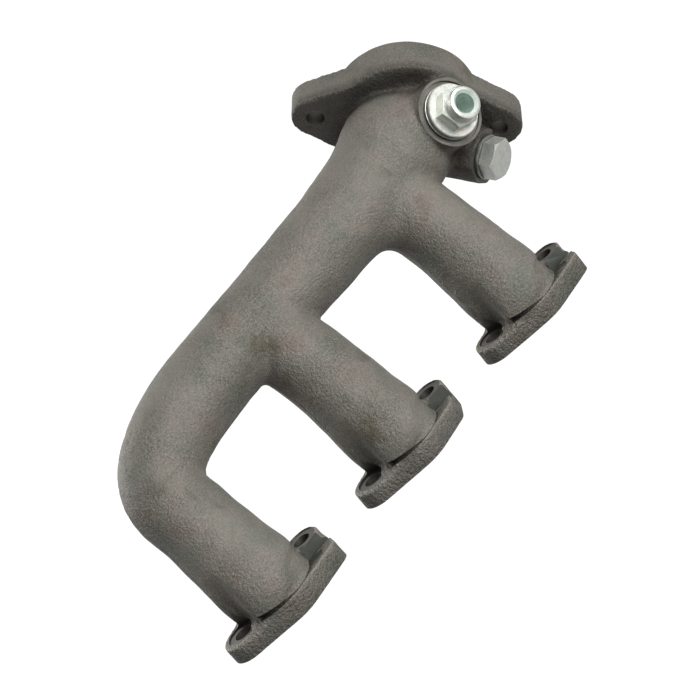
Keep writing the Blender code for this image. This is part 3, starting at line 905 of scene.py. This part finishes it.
def chamfered_hexagon(low, high):
    """A hexagon bar end, its corners turned off at 30 degrees on the upper side."""
    corner = HEX_FLATS / math.sqrt(3.0)
    reach = corner + 0.6 * MM
    crown = HEX_FLATS / 2 - 0.3 * MM
    drop = (reach - crown) * math.tan(math.radians(30.0))
    bar = new_object("hexagon", cylinder(corner, low, high, UPRIGHT, 6), ZINC)
    profile = [(0.0, high), (crown, high), (reach, high - drop), (reach, low), (0.0, low)]
    blank = new_object("blank", turned(profile, UPRIGHT, 96), ZINC)
    return combine(bar, [blank], "INTERSECT")


def threaded_rod(radius, low, high, steps=48):
    """A right-hand thread with a chamfered tip at its low end."""
    depth = 0.6134 * PITCH
    root = radius - depth
    bm = bmesh.new()
    start = low - 2 * PITCH
    line = []
    for turn in range(int((high - low) / PITCH) + 4):
        base = start + turn * PITCH
        line += [(root, base), (root, base + 0.25 * PITCH), (radius, base + 0.56 * PITCH),
                 (radius, base + 0.69 * PITCH)]
    verts = [bm.verts.new((distance, 0.0, height)) for distance, height in line]
    edges = [bm.edges.new(pair) for pair in zip(verts, verts[1:])]
    bmesh.ops.spin(bm, geom=verts + edges, cent=(0, 0, 0), axis=(0, 0, 1),
                   dvec=(0.0, 0.0, PITCH / steps), angle=math.tau, steps=steps)
    bmesh.ops.remove_doubles(bm, verts=bm.verts, dist=WELD)
    for height, normal in ((low, -1.0), (high, 1.0)):
        everything = bm.verts[:] + bm.edges[:] + bm.faces[:]
        cut = bmesh.ops.bisect_plane(bm, geom=everything, plane_co=(0, 0, height),
                                     plane_no=(0, 0, normal), clear_outer=True)["geom_cut"]
        rim = [item for item in cut if isinstance(item, bmesh.types.BMEdge)]
        bmesh.ops.holes_fill(bm, edges=rim, sides=0)
    outward(bm)
    rod = new_object("rod", bm, ZINC)
    tip = 1.3 * MM
    clear = radius + 1.0 * MM
    profile = [(0.0, high + OVERCUT), (clear, high + OVERCUT), (clear, low + tip + 1.0 * MM),
               (radius - tip, low), (0.0, low)]
    return combine(rod, [new_object("blank", turned(profile, UPRIGHT), ZINC)], "INTERSECT")


def finish_fitting(obj, place, body, node):
    """Put a fitting made upright in its place and hand it to its body."""
    obj.data.transform(place)
    smooth_with_edges(obj, 25.0)
    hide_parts(node)
    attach(obj, body)
    return obj


def washer(name, radius, place, body, node):
    """A flat sealing ring with its edges rounded by tumbling."""
    low, high, inner = GAP, GAP + WASHER_THICK, THREAD_R + GAP
    edge, nip = 0.35 * MM, 0.1 * MM
    profile = [(radius - edge, high), (radius - nip, high - nip), (radius, high - edge),
               (radius, low + edge), (radius - nip, low + nip), (radius - edge, low),
               (inner + edge, low), (inner, low + edge), (inner, high - edge), (inner + edge, high)]
    obj = new_object(name, turned(profile, UPRIGHT, 96, ring=True), WASHER_STEEL)
    return finish_fitting(obj, place, body, node)


def adapter():
    """Collar and hexagon, threaded shank below, hollow neck with a rolled lip above."""
    base = SEAT_TO_HEAD
    collar = base + EGR_COLLAR_THICK
    nut = collar + EGR_HEX_THICK
    top = nut + EGR_NECK_LENGTH
    edge, lip = 0.5 * MM, 0.9 * MM
    profile = [(0.0, top), (EGR_NECK_R - lip, top), (EGR_NECK_R - 0.3 * lip, top - 0.3 * lip),
               (EGR_NECK_R, top - lip), (EGR_NECK_R, top - 2.4 * MM),
               (EGR_NECK_R - edge, top - 2.4 * MM - edge), (EGR_NECK_R - edge, collar),
               (EGR_COLLAR_R - edge, collar), (EGR_COLLAR_R, collar - edge),
               (EGR_COLLAR_R, base + edge), (EGR_COLLAR_R - edge, base), (0.0, base)]
    body = new_object("tube_adapter", turned(profile, UPRIGHT, 96), ZINC)
    combine(body, [chamfered_hexagon(collar - 0.5 * MM, nut)], "UNION")
    combine(body, [threaded_rod(THREAD_R, -EGR_SHANK, base + 1.0 * MM)], "UNION")
    mouth = EGR_BORE_R + 1.5 * MM
    bore = turned([(0.0, top + OVERCUT), (mouth + OVERCUT, top + OVERCUT), (mouth, top - 0.1 * MM),
                   (EGR_BORE_R, top - 1.4 * MM), (EGR_BORE_R, -EGR_SHANK - OVERCUT),
                   (0.0, -EGR_SHANK - OVERCUT)], UPRIGHT)
    combine(body, [new_object("bore", bore, BORE_ZINC_PAINTED_LIGHT)], "DIFFERENCE")
    place = axis_frame(EGR_SEAT, EGR_AXIS, EGR_TURN)
    return finish_fitting(body, place, "adapter", "egr_adapter")


def plug():
    """A hexagon-head plug, corners chamfered on its end face."""
    base = SEAT_TO_HEAD
    head = chamfered_hexagon(base, base + PLUG_HEAD_THICK)
    head.name = "hexagon_plug"
    combine(head, [threaded_rod(THREAD_R, -PLUG_SHANK, base + 1.0 * MM)], "UNION")
    place = axis_frame(PLUG_SEAT, PLUG_AXIS, PLUG_TURN)
    return finish_fitting(head, place, "plug", "port_plug")


# ---- studio -----------------------------------------------------------------

CAMERA_AZIMUTH = math.radians(-23.70)
CAMERA_HEIGHT = math.radians(18.094)
CAMERA_ROLL = math.radians(-41.01)
CAMERA_TARGET = mm(-20.6, -43.9, 69.8)
CAMERA_DISTANCE = 1.2
CAMERA_LENS = 114.64


def camera():
    data = bpy.data.cameras.new("camera")
    data.lens = CAMERA_LENS
    data.sensor_width = 36.0
    data.clip_end = 50.0
    obj = bpy.data.objects.new("camera", data)
    bpy.context.scene.collection.objects.link(obj)
    turn = Euler((math.pi / 2 - CAMERA_HEIGHT, 0.0, CAMERA_AZIMUTH)).to_matrix()
    turn = turn @ Matrix.Rotation(CAMERA_ROLL, 3, "Z")
    back = turn @ Vector((0.0, 0.0, CAMERA_DISTANCE))
    obj.matrix_world = Matrix.Translation(CAMERA_TARGET + back) @ turn.to_4x4()
    bpy.context.scene.camera = obj
    return obj


def area_light(name, place, size, power, colour="#ffffff", target=Vector((0.0, 0.0, 0.08))):
    data = bpy.data.lights.new(name, "AREA")
    data.size = size
    data.energy = power
    data.color = shade(colour)[:3]
    obj = bpy.data.objects.new(name, data)
    bpy.context.scene.collection.objects.link(obj)
    aim = (place - target).to_track_quat("Z", "Y").to_matrix().to_4x4()
    obj.matrix_world = Matrix.Translation(place) @ aim
    return obj


def studio(view):
    turn = view.matrix_world.to_3x3()
    right, up, toward = turn.col[0], turn.col[1], turn.col[2]
    area_light("key_softbox", up * 2.1 + toward * 3.1 + right * 1.3, 2.0, 158.0)
    area_light("top_strip", up * 3.6 + toward * 1.2 - right * 0.4, 1.8, 15.0)
    area_light("back_softbox", Vector((-0.9, 3.0, 1.5)), 2.0, 75.0)
    bm = bmesh.new()
    bmesh.ops.create_grid(bm, x_segments=1, y_segments=1, size=12.0)
    floor = new_object("studio_floor", bm)
    material, shader = new_material("white_paper_sweep")
    shader.inputs["Base Color"].default_value = shade("#5c5c5c")
    shader.inputs["Roughness"].default_value = 1.0
    shader.inputs["Specular IOR Level"].default_value = 0.0
    shader.inputs["Emission Color"].default_value = shade("#ffffff")
    shader.inputs["Emission Strength"].default_value = 1.0
    floor.data.materials.append(material)
    floor.visible_diffuse = False
    floor.visible_glossy = False
    world = bpy.data.worlds.new("studio_air")
    bpy.context.scene.world = world
    world.use_nodes = True
    backdrop = world.node_tree.nodes["Background"]
    backdrop.inputs["Color"].default_value = shade("#ffffff")
    rays = put(backdrop, "ShaderNodeLightPath")
    mirrored = remap(backdrop, rays.outputs["Is Glossy Ray"], 0.0, 1.0, 0.045, 0.62)
    strength = put(backdrop, "ShaderNodeMath", {"operation": "MAXIMUM"}, i0=mirrored,
                   i1=rays.outputs["Is Camera Ray"]).outputs[0]
    world.node_tree.links.new(strength, backdrop.inputs["Strength"])
    bpy.context.scene.view_settings.view_transform = "Standard"


view_camera = camera()
studio(view_camera)
casting()
adapter()
washer("adapter_sealing_washer", EGR_WASHER_R, axis_frame(EGR_SEAT, EGR_AXIS), "adapter_carrier",
       "egr_adapter_washer")
plug()
washer("plug_sealing_washer", PLUG_WASHER_R, axis_frame(PLUG_SEAT, PLUG_AXIS), "plug_carrier",
       "plug_washer")
